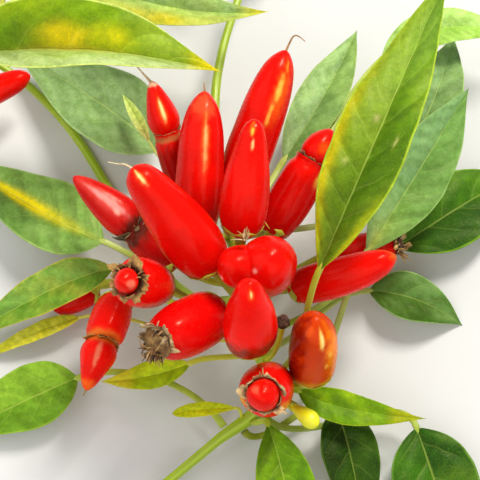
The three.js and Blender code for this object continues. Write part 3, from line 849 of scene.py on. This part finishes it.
# Dried flower remains, all in a piece's second material
def flake(shape, points, inside, edge, draw):
    """A dried, wrinkled scrap through a grid of points whose last row is its ragged edge."""
    wrinkles = ripple(draw.random(), 2.6, *np.moveaxis(points, -1, 0))
    body, faces = shell(points + 0.14 * wrinkles[..., None], FLAKE_THICKNESS)
    part = np.linspace(0, 1, len(points))[:, None]
    tones = blend(srgb(inside), srgb(edge), smooth(0.1, 0.75, part))
    tones = blend(tones, srgb(DARK_BROWN), 0.35 * smooth(0.3, 1, wrinkles)).reshape(-1, 3)
    # The under side is a darker copy of the top: painted shade
    shape.add(body, faces, np.vstack([tones, tones * 0.7]), 1)


def collar(shape, centre, along, radius, made, seed):
    """Dried flakes all round a ring: each starts on it, rises from it and curls over."""
    draw = random.Random(seed)
    across = next(turned([along]))
    rows, columns = 7, 9
    for index in range(made.flakes):
        middle = math.tau * (index + 0.5 + draw.uniform(-0.3, 0.3)) / made.flakes
        half = math.tau / made.flakes * draw.uniform(0.4, 0.75)
        length, rise = draw.uniform(*made.length), made.rise + draw.uniform(-0.35, 0.35)
        curl, lean = draw.uniform(*made.curl), draw.uniform(-0.5, 0.5)
        start = radius * draw.uniform(0.92, 1.02)
        points = np.zeros((rows, columns, 3))
        for column in range(columns):
            share = 2 * column / (columns - 1) - 1
            out = outward(along, across, middle + half * share)
            side = np.cross(along, out)
            reach = length * (1 - 0.7 * abs(share) ** 2.5) * draw.uniform(0.65, 1.2)
            point = centre + out * start
            for row in range(rows):
                points[row, column] = point
                angle = rise + curl * row / (rows - 1)
                way = out * math.cos(angle) + along * math.sin(angle) + side * lean
                point = point + way * reach / (rows - 1)
        flake(shape, points[:, ::-1], made.inside, made.edge, draw)


def shred(shape, start, way, out, length, width, curl, colour, draw):
    """A dried shred: a thin pointed strip that curls over as it goes, and twists a little."""
    side = unit(np.cross(way, out))
    point, heading = start.copy(), unit(way)
    steps, rings = 7, []
    twist = draw.uniform(-0.5, 0.5)
    for step in range(steps + 1):
        part = step / steps
        normal = unit(np.cross(side, heading))
        reach = width * (0.45 + 0.8 * part) * (1 - part) ** 0.6 + 0.05
        flat, up = side * reach / 2, normal * SHRED_THICKNESS / 2 * (1 - 0.6 * part)
        rings.append([point + flat + up, point - flat + up, point - flat - up, point + flat - up])
        point = point + heading * length / steps
        turn = curl / steps
        heading = unit(heading * math.cos(turn) + normal * math.sin(turn))
        side = unit(side + heading * 0.1 * twist + normal * twist / steps)
        side = square_to(side, heading)
    rings = np.array(rings)
    ring = rings[0]
    if np.dot(np.cross(ring[1] - ring[0], ring[2] - ring[1]), unit(way)) < 0:
        rings = rings[:, ::-1]
    tone = srgb(colour)
    tones = [[blend(tone * 0.75, tone * 1.1, 0.4 + 0.5 * draw.random())] for _ in rings]
    shape.add_body(rings, np.array(tones), 1)


def threads(shape, centre, along, radius, count, length, colours, draw):
    """Curled dried threads, thrown out from a ring."""
    across = square_to((0.2, 0.3, 1), along)
    for _ in range(count):
        out = outward(along, across, draw.uniform(0, math.tau))
        start = centre + out * radius * draw.uniform(0.3, 1)
        way = unit(out * draw.uniform(0.2, 1) + along * draw.uniform(0.2, 1))
        shred(shape, start, way, out, draw.uniform(*length), draw.uniform(0.3, 0.8),
              draw.uniform(-2.6, 2.6), draw.choice(colours), draw)


def hair(shape, points, start_radius, end_radius, colour):
    """A thin dried thread, such as a style, through points."""
    line = [array(*point) for point in points]
    steps = 6 * (len(line) - 1)
    stations = []
    for step in range(steps + 1):
        place = step * (len(line) - 1) / steps
        radius = start_radius + (end_radius - start_radius) * step / steps
        stations.append((spline(line, place), way_on(line, place, 0.02), radius))
    shape.add_body(rings_around(stations, HAIR_SIDES), srgb(colour), 1)


def crust(shape, centre, along, radius, height, seed, colours):
    """A lumpy dried crust: a flattened ball, darker where it sinks in between its lumps."""
    pale, brown, dark = [srgb(colour) for colour in colours]
    across = square_to((0.3, 1, 0.2), along)
    angles, rings, tones = turns(CRUST_SIDES), [], []
    for row in range(1, CRUST_ROWS):
        tilt = math.pi * row / CRUST_ROWS
        x, y, z = math.sin(tilt) * np.cos(angles), math.sin(tilt) * np.sin(angles), -math.cos(tilt)
        lumps = 1 + 0.16 * ripple(seed, 5, x, y, z) + 0.12 * ripple(seed + 1, 11, x, y, z)
        lumps = lumps + 0.07 * ripple(seed + 2, 24, x, y, z)
        ring = ring_about(centre, along, across, x * radius * lumps, y * radius * lumps)
        rings.append(ring + np.outer(z * height * lumps, along))
        tone = blend(pale, brown, smooth(0.2, 0.8, cloud(seed + 3, 7, x, y, z)))
        tones.append(blend(tone, dark, smooth(0.15, -0.1, 0.5 * (lumps - 0.9))))
    shape.add_body(np.array(rings), np.array(tones), 1)


def dried_remains(shape, name, fruit, axis, seed):
    draw = random.Random(seed)
    if name in COLLARS:
        made = COLLARS[name]
        centre, along = axis.at(made.place)
        start = 0.9 * np.interp(made.place, *np.transpose(fruit.outline[:6])) * fruit.width / 2
        collar(shape, centre, along, start, made, seed)
        colours = (made.edge, made.inside, TAN)
        threads(shape, centre, along, start, made.flakes, made.length, colours, draw)
    if name in STYLES:
        (tip, along), (points, radius, colour) = axis.at(1), STYLES[name]
        hair(shape, [tip - along * 0.6] + points, radius, 0.4 * radius, colour)
    if name in CRUSTS:
        radius, height, colours, made, count, tufts = CRUSTS[name]
        centre, along = axis.at(made.place)
        crust(shape, centre, along, radius, height, seed, colours)
        collar(shape, centre, along, 0.85 * radius, made, seed)
        colours = (BROWN, DARK_BROWN, TAN, CREAM)
        threads(shape, centre, along, radius, count, made.length, colours, draw)
        for shift, count, length in tufts:
            drooping, colours = unit(along + (0, -0.9, 0)), (BROWN, DARK_BROWN, TAN, STRAW)
            threads(shape, centre + shift, drooping, 2.2, count, length, colours, draw)
    if fruit.lobe:
        star(shape, draw)


def star(shape, draw):
    centre, up = array(*STAR), unit(array(*STAR_FACES))
    for index in range(STAR_SHREDS):
        angle = math.tau * index / STAR_SHREDS + draw.uniform(-0.2, 0.2)
        way = unit(array(math.cos(angle), math.sin(angle), 0) + up * draw.uniform(0.6, 3))
        shred(shape, centre - up * 0.6, way, up, draw.uniform(2, 4.8), draw.uniform(0.4, 0.8),
              draw.uniform(-1.2, 1.2), draw.choice([CREAM, CREAM, TAN]), draw)


def dried_knob(shape):
    knob, up = array(*KNOB), array(0, 0, 1)
    line = bridge(lines["stem_main"].foot(KNOB_FROM, KNOB), knob - 1.4 * up, up)
    stations = [(*line.at(place), KNOB_STALK) for place in np.linspace(0, 1, STALK_STEPS)]
    shape.add_body(rings_around(stations, KNOB_SIDES), srgb(KNOB_GREEN))
    crust(shape, knob, up, KNOB_RADIUS, 1.5, 12, (BROWN, DARK_BROWN, DARK_BROWN))
    threads(shape, knob, up, 1.4, 12, (0.6, 1.4), (BROWN, DARK_BROWN, TAN), random.Random(4))


# Leaves
def leaf_blade(shape, leaf, seed):
    """A blade with its true outline: folded, arched between rib and margin, waved at the margin,
    and drawn in along each vein, as a thin closed shell. Gives back the line of its rib."""
    base, middle, tip = [array(*point) for point in leaf.rib]
    rib = Bezier(base, 2 * middle - (base + tip) / 2, tip)
    length, half, fold = rib.length(), leaf.width / 2, math.radians(leaf.fold)
    rows, columns = max(24, int(length / LEAF_STEP)), max(7, int(half / LEAF_COLUMN))
    inner = np.linspace(0, 0.9, columns)[1:]
    right = np.concatenate([[0.03, 0.07], inner[inner > 0.09], [0.935, 0.965, 1.0]])
    across = np.concatenate([-right[::-1], [0], right])
    places = 0.004 + 0.996 * np.linspace(0, 1, rows) ** 0.95
    peak = leaf.swell / (leaf.swell + leaf.taper)
    ending = np.maximum(1 - places, 1e-4) / (1 - peak)
    widths = np.maximum(half * ((places / peak) ** leaf.swell * ending ** leaf.taper), 0.02)
    centres, alongs = np.swapaxes([rib.at(place) for place in places], 0, 1)
    normals = np.array([square_to(leaf.face, along) for along in alongs])
    rights = np.cross(alongs, normals)
    side, place = np.meshgrid(across, places)
    away, reach = np.abs(side), place * length / half
    wander = 0.1 * ripple(seed, 2.1, side, reach)
    phase = (reach + wander - VEIN_SLOPE * away - VEIN_BEND * away ** 2) / VEIN_SPACING
    phase = phase + VEIN_OFFSET * (side > 0)
    near = np.abs(phase - np.floor(phase) - 0.5)
    groove = (1 - smooth(0.02, 0.16, near)) * (1 - smooth(0.75, 0.98, away))
    pillow = np.sin(math.pi * np.clip(2 * near, 0, 1) * 0.5) * np.sin(math.pi * away)
    edge = np.where(side > 0, 1.3, 0.0)
    ragged = 1 + 0.022 * ripple(seed + 6, 3.4, reach + 5 * edge)
    lift = (
        math.sin(fold) * (np.sqrt(away ** 2 + 0.003) - 0.05)
        + 0.07 * np.sin(math.pi * away) + 0.07 * away ** 2 * np.sin(2.4 * reach + edge + seed)
        + 0.035 * pillow * leaf.pucker - 0.02 * groove + 0.03 * ripple(seed + 4, 1.7, side, reach)
    )
    reaches = widths[:, None] * np.where(side > 0, leaf.halves[1], leaf.halves[0]) * ragged
    top = (
        centres[:, None] + (side * math.cos(fold) * reaches)[..., None] * rights[:, None]
        + (lift * widths[:, None])[..., None] * normals[:, None]
    )
    thickness = BLADE_THICKNESS * (1 - 0.6 * smooth(0.8, 1, away))
    points, faces = shell(top, thickness * np.minimum(1, widths / 1.2)[:, None])
    spots = np.stack([side, reach], axis=-1).reshape(-1, 2)
    upper = leaf_paint(leaf, side, place, reach, seed)
    both = np.array([upper, blend(upper, srgb(LEAF_UNDERSIDE), 0.45)])
    paint = np.insert(both, 3, leaf.veins, axis=-1).reshape(-1, 4)
    shape.add(points, faces, paint, places=np.vstack([spots, spots])[np.ravel(faces)])
    return rib


def leaf_paint(leaf, side, place, reach, seed):
    grid = blend(srgb(leaf.left), srgb(leaf.right), smooth(-0.06, 0.06, side))
    tone = cloud(seed + 1, 2.2, side, reach)
    grid = blend(grid, srgb(leaf.mottle or leaf.margin), 0.32 * smooth(0.35, 0.95, tone))
    grid = blend(grid, grid * 0.78, 0.5 * smooth(0.6, 0.1, tone))
    blotches = ripple(seed + 7, 7, side, reach)
    grid = blend(grid, grid * 0.66, 0.5 * smooth(0, 0.5, blotches))
    grid = blend(grid, grid * 1.3, 0.5 * smooth(0, -0.5, blotches))
    for across, along, wide, far, colour, strength in leaf.patches:
        weight = np.exp(-((side - across) / wide) ** 2 - ((place - along) / far) ** 2)
        weight = weight * (0.8 + 0.25 * ripple(seed + 2, 3.1, side, reach))
        grid = blend(grid, srgb(colour), np.clip(strength * weight, 0, 1))
    out = np.abs(side) + 0.012 * ripple(seed + 3, 6, side, reach)
    edge = smooth(1 - leaf.margin_width, 1 - 0.4 * leaf.margin_width, out)
    grid = blend(grid, srgb(leaf.margin), 0.85 * edge)
    if leaf.tip:
        starts, ends = leaf.tip_starts, min(leaf.tip_starts + 0.14, 1)
        grid = blend(grid, srgb(leaf.tip), smooth(starts, ends, place))
    return np.clip(np.maximum(grid - 0.012, 0.3 * grid), 0, 1)


def leaf_petiole(shape, leaf, rib):
    """The petiole, channelled on its upper side, which runs on under the blade as the midrib."""
    (base, onward), face = rib.at(0), unit(array(*leaf.face))
    petiole = bridge(lines[leaf.stem].foot(leaf.place, base), base, onward)
    small, stations = min(1, leaf.width / 9), []
    for place in np.linspace(0, 1, PETIOLE_STEPS)[:-1]:
        swollen = PETIOLE_RADIUS * (1 + 0.25 * smooth(0.15, 0, place))
        stations.append((*petiole.at(place), swollen * small))
    for place in np.linspace(0, RIB_ENDS, RIB_STEPS):
        point, along = rib.at(place)
        radius = small * PETIOLE_RADIUS * (1 - 0.84 * place / RIB_ENDS)
        sink = (radius * 0.95 + 0.1) * smooth(0, 0.1, place)
        stations.append((point - square_to(leaf.face, along) * sink, along, radius))
    rings = rings_around(stations, PETIOLE_SIDES)
    for ring, (centre, along, radius) in zip(rings, stations):
        if abs(np.dot(face, along)) < 0.97:
            normal = square_to(leaf.face, along)
            dip = 0.42 * radius * smooth(0.35, 1.0, (ring - centre) @ normal / radius)
            ring -= dip[:, None] * normal
    colour = blend(srgb(leaf.margin), srgb(STALK_GREEN), 0.45)
    tones = []
    for index in range(len(rings)):
        tone = cloud(index % 3, 1, np.arange(PETIOLE_SIDES) * 0.8, index * 0.2)
        tones.append(blend(colour * 0.86, colour * 1.12, tone))
    shape.add_body(rings, np.clip(tones, 0, 1), 1)


# Materials
class Value:
    """A node's output, which adds, subtracts and multiplies like a number."""

    def __init__(self, made, node, output=0):
        self.made, self.socket = made, node.outputs[output]

    def __add__(self, other):
        return self.made.math("ADD", self, other)

    def __sub__(self, other):
        return self.made.math("SUBTRACT", self, other)

    def __mul__(self, other):
        return self.made.math("MULTIPLY", self, other)

    def __abs__(self):
        return self.made.math("ABSOLUTE", self)


class Nodes:
    """Short ways to make the nodes of one material. Most use the paint and the place in space."""

    def __init__(self, name):
        self.material = bpy.data.materials.new(name)
        self.material.use_nodes = True
        self.tree = self.material.node_tree
        self.shader = self.tree.nodes["Principled BSDF"]
        paint = self.node("Attribute", {}, attribute_name="paint")
        self.colour, self.alpha = Value(self, paint, "Color"), Value(self, paint, "Alpha")
        self.around = Value(self, self.node("TexCoord", {}), "Object")

    def put(self, target, value):
        if isinstance(value, Value):
            self.tree.links.new(value.socket, target)
        elif isinstance(value, tuple):
            target.default_value = (*value, 1.0)
        else:
            target.default_value = value

    def node(self, kind, inputs, **settings):
        node = self.tree.nodes.new("ShaderNode" + kind)
        for name, value in settings.items():
            setattr(node, name, value)
        for key, value in inputs.items():
            self.put(node.inputs[key], value)
        return node

    def math(self, kind, *values):
        return Value(self, self.node("Math", dict(enumerate(values)), operation=kind))

    def mix(self, part, first, second, kind="MIX"):
        inputs = {0: part, 6: first, 7: second}
        return Value(self, self.node("Mix", inputs, data_type="RGBA", blend_type=kind), 2)

    def tinted(self, part, first, tint):
        """A colour that turns in parts into the paint times a tint."""
        return self.mix(part, first, self.mix(1.0, self.colour, tint, "MULTIPLY"))

    def range(self, value, low, high, to_low, to_high):
        inputs = dict(enumerate((value, low, high, to_low, to_high)))
        return Value(self, self.node("MapRange", inputs, interpolation_type="SMOOTHSTEP"))

    def noise(self, scale, detail, rough=0.55, where=None, output="Fac"):
        where = where or self.around
        inputs = {"Vector": where, "Scale": scale, "Detail": detail, "Roughness": rough}
        return Value(self, self.node("TexNoise", inputs), output)

    def cells(self, where, scale):
        inputs = {"Vector": where, "Scale": scale}
        node = self.node("TexVoronoi", inputs, feature="DISTANCE_TO_EDGE")
        return Value(self, node, "Distance")

    def finish(self, bump=None, **values):
        """The material, with a bump of a height, strength and distance, and the shader's values."""
        if bump:
            inputs = dict(zip(("Height", "Strength", "Distance"), bump))
            values["Normal"] = Value(self, self.node("Bump", inputs))
        for name, value in values.items():
            self.put(self.shader.inputs[name.replace("_", " ")], value)
        return self.material


def skin_material():
    made = Nodes("fruit_skin")
    patchy, fine = made.noise(160, 2), made.noise(900, 3)
    darker = made.tinted(made.range(patchy, 0.35, 0.7, 0, 0.35), made.colour, (0.62, 0.5, 0.5))
    return made.finish(
        bump=(patchy + fine * 0.12, 0.22, 0.0006),
        Base_Color=made.mix(made.range(fine, 0.62, 0.75, 0, 0.16), darker, (0.95, 0.08, 0.02)),
        Roughness=made.range(fine, 0.3, 0.7, 0.2, 0.32),
        Specular_IOR_Level=0.15, Specular_Tint=(1, 0.5, 0.3), Coat_Weight=0.05, Coat_Roughness=0.06,
    )


def stem_material():
    made = Nodes("green_stem")
    fine, patchy = made.noise(1400, 3), made.noise(180, 3)
    lighter = made.mix(made.range(patchy, 0.4, 0.75, 0, 0.4), made.colour, (0.48, 0.6, 0.06))
    return made.finish(
        bump=(fine, 0.35, 0.0002),
        Base_Color=made.mix(made.range(fine, 0.55, 0.8, 0, 0.2), lighter, (0.14, 0.2, 0.02)),
        Roughness=made.range(patchy, 0.3, 0.7, 0.36, 0.52),
    )


def dry_material():
    made = Nodes("dried_flower")
    fine, patchy = made.noise(2200, 4), made.noise(500, 3)
    return made.finish(
        bump=(patchy + fine, 0.8, 0.0003),
        Base_Color=made.tinted(made.range(patchy, 0.4, 0.65, 0, 0.7), made.colour, (0.4, 0.34, 0.3)),
        Roughness=made.range(fine, 0.3, 0.7, 0.65, 0.92),
    )


def leaf_material():
    """The veins lie where leaf_blade draws them in, with a net of small ones between them. The
    paint's alpha is their strength."""
    made = Nodes("leaf_blade")
    where = Value(made, made.node("UVMap", {}, uv_map="place"))
    split = made.node("SeparateXYZ", {0: where})
    side, reach = Value(made, split, 0), Value(made, split, 1)
    away = abs(side)
    wander = (made.noise(1.6, 1, where=where) - 0.5) * 0.28
    offset = made.math("GREATER_THAN", side, 0.0) * VEIN_OFFSET
    phase = reach + wander - away * VEIN_SLOPE - away * away * VEIN_BEND + offset
    near = abs(made.math("FRACT", phase) - 0.5)
    vein = made.range(near, 0.012, 0.06, 1, 0) * made.range(away, 0.5, 0.97, 1, 0)
    rib = made.range(away, 0.014, 0.045, 1, 0)
    loose = made.mix(0.08, where, made.noise(5, 2, where=where, output="Color"))
    net = made.range(made.cells(loose, 5.5), 0.0, 0.05, 1, 0)
    small = made.range(made.cells(loose, 14), 0.0, 0.08, 1, 0)
    lines = made.math("MAXIMUM", rib, made.math("MAXIMUM", vein * 0.3, net * 0.15))
    light = made.mix(0.5, made.colour, (0.56, 0.68, 0.12))
    patchy, fine = made.noise(360, 5, 0.7), made.noise(1100, 3)
    tone = made.tinted(made.range(patchy, 0.4, 0.64, 0, 0.6), made.colour, (0.56, 0.68, 0.36))
    tone = made.tinted(made.range(fine, 0.5, 0.7, 0, 0.5), tone, (1.36, 1.28, 1.16))
    tone = made.mix(small * 0.12, tone, light)
    return made.finish(
        bump=(patchy * 0.6 - lines * 0.9 + fine * 0.25, 0.42, 0.0005),
        Base_Color=made.mix(lines * made.alpha, tone, light),
        Roughness=made.range(fine, 0.3, 0.7, 0.42, 0.58), Specular_IOR_Level=0.22,
        Specular_Tint=(1, 1, 0.5),
    )


def bud_material():
    made = Nodes("bud_skin")
    fine = made.noise(1200, 3)
    return made.finish(
        bump=(fine, 0.25, 0.0003),
        Base_Color=made.mix(made.range(fine, 0.4, 0.8, 0, 0.35), made.colour, (0.62, 0.68, 0.1)),
        Roughness=made.range(fine, 0.3, 0.7, 0.35, 0.5),
    )


def floor_material():
    made = Nodes("pale_floor")
    tone = made.mix(made.noise(60, 3), (0.66, 0.65, 0.62), (0.7, 0.69, 0.66))
    return made.finish(Base_Color=tone, Roughness=0.85)


SKIN, STEM, DRY, LEAF, BUD = (
    skin_material(), stem_material(), dry_material(), leaf_material(), bud_material(),
)

# The pieces. Each one's seeds are its number in its table, shifted for each kind of body
lines = {}
for name, (parent, points) in STEMS.items():
    if parent:
        *first, radius = points[0]
        start, away = lines[parent[0]].foot(parent[1], first)
        points = [(*start, radius), (*(start + away * SETTING_OFF), radius)] + points
    lines[name] = StemLine(points)
    shape = Shape()
    stem_shape(shape, lines[name], cut=not parent)
    shape.finish(name + "_bark", [STEM], name, "stem")

for number, (name, fruit) in enumerate(FRUITS.items()):
    axis = fruit_axis(fruit.base, fruit.tip, fruit.bend)
    shape = Shape()
    fruit_shape(shape, fruit, axis, fruit.width, number + 1, number)
    if fruit.lobe:
        tip, width = fruit.lobe
        lobe = fruit_axis(axis.point(LOBE_STARTS), tip)
        fruit_shape(shape, fruit, lobe, width, number + 40, number + 20)
    dried_remains(shape, name, fruit, axis, number)
    shape.finish("chilli_" + name, [SKIN, DRY], "fruit_" + name, "fruit")
    shape = Shape()
    stalk_shape(shape, fruit, axis)
    if name == KNOB_BESIDE:
        dried_knob(shape)
    shape.finish("calyx_" + name, [STEM, DRY], "stalk_" + name, "stem")

for number, (name, fruit) in enumerate(GROWN_ON.items()):
    axis = fruit_axis(fruit.base, fruit.tip)
    shape = Shape()
    fruit_shape(shape, fruit, axis, fruit.width, number + 60, number + 50)
    stalk_shape(shape, fruit, axis, 1)
    shape.finish(name + "_skin", [BUD if fruit.slot == "bud" else SKIN, STEM], name, fruit.slot)

for number, (name, leaf) in enumerate(LEAVES.items()):
    shape = Shape()
    leaf_petiole(shape, leaf, leaf_blade(shape, leaf, number + 1))
    shape.finish("blade_" + name, [LEAF, STEM], "leaf_" + name, "leaf")


# The floor, the lights and the camera, in metres
FLOOR_REACH = 3.0


def aim(thing, place, way):
    thing.location = place
    thing.rotation_euler = Vector(way).to_track_quat("-Z", "Y").to_euler()


def add_light(name, place, size, watts, colour):
    data = bpy.data.lights.new(name, "AREA")
    data.shape = "RECTANGLE"
    data.size, data.size_y = size
    data.energy = watts
    data.color = colour
    aim(link(name, data), place, Vector((0, 0, 0.03)) - Vector(place))


mesh = bpy.data.meshes.new("floor")
corners = [(-1, -1), (1, -1), (1, 1), (-1, 1)]
mesh.from_pydata([(x * FLOOR_REACH, y * FLOOR_REACH, 0) for x, y in corners], [], [(0, 1, 2, 3)])
mesh.materials.append(floor_material())
floor = link("floor", mesh)

add_light("key", (0.28, 0.42, 0.72), (0.16, 0.34), 7.4, (1, 0.985, 0.95))
add_light("fill", (-0.6, -0.2, 0.7), (1.1, 1.1), 4, (0.98, 0.99, 1))
add_light("front", (0.15, -0.75, 0.6), (1, 0.8), 3.2, (1, 0.99, 0.97))

world = bpy.data.worlds.new("studio")
bpy.context.scene.world = world
world.use_nodes = True
sky = world.node_tree.nodes["Background"].inputs
sky["Color"].default_value = (0.95, 0.98, 1, 1)
sky["Strength"].default_value = 0.42

bpy.context.scene.view_settings.view_transform = "Standard"

# The camera looks down at 68 degrees, from 380 mm, at the point in the photo's centre, and sees
# 62.4 mm to each side of it
ELEVATION = math.radians(68)
DISTANCE = 380
TARGET = array(0, 0, 28) - MIDDLE
HALF_WIDTH = 62.4
camera_data = bpy.data.cameras.new("camera")
camera = link("camera", camera_data)
back = array(0, -math.cos(ELEVATION), math.sin(ELEVATION))
aim(camera, Vector((TARGET + back * DISTANCE) * MM), -back)
camera_data.sensor_width = 36
camera_data.lens = camera_data.sensor_width / 2 * DISTANCE / HALF_WIDTH
camera_data.clip_start = 0.01
camera_data.clip_end = 20
bpy.context.scene.camera = camera
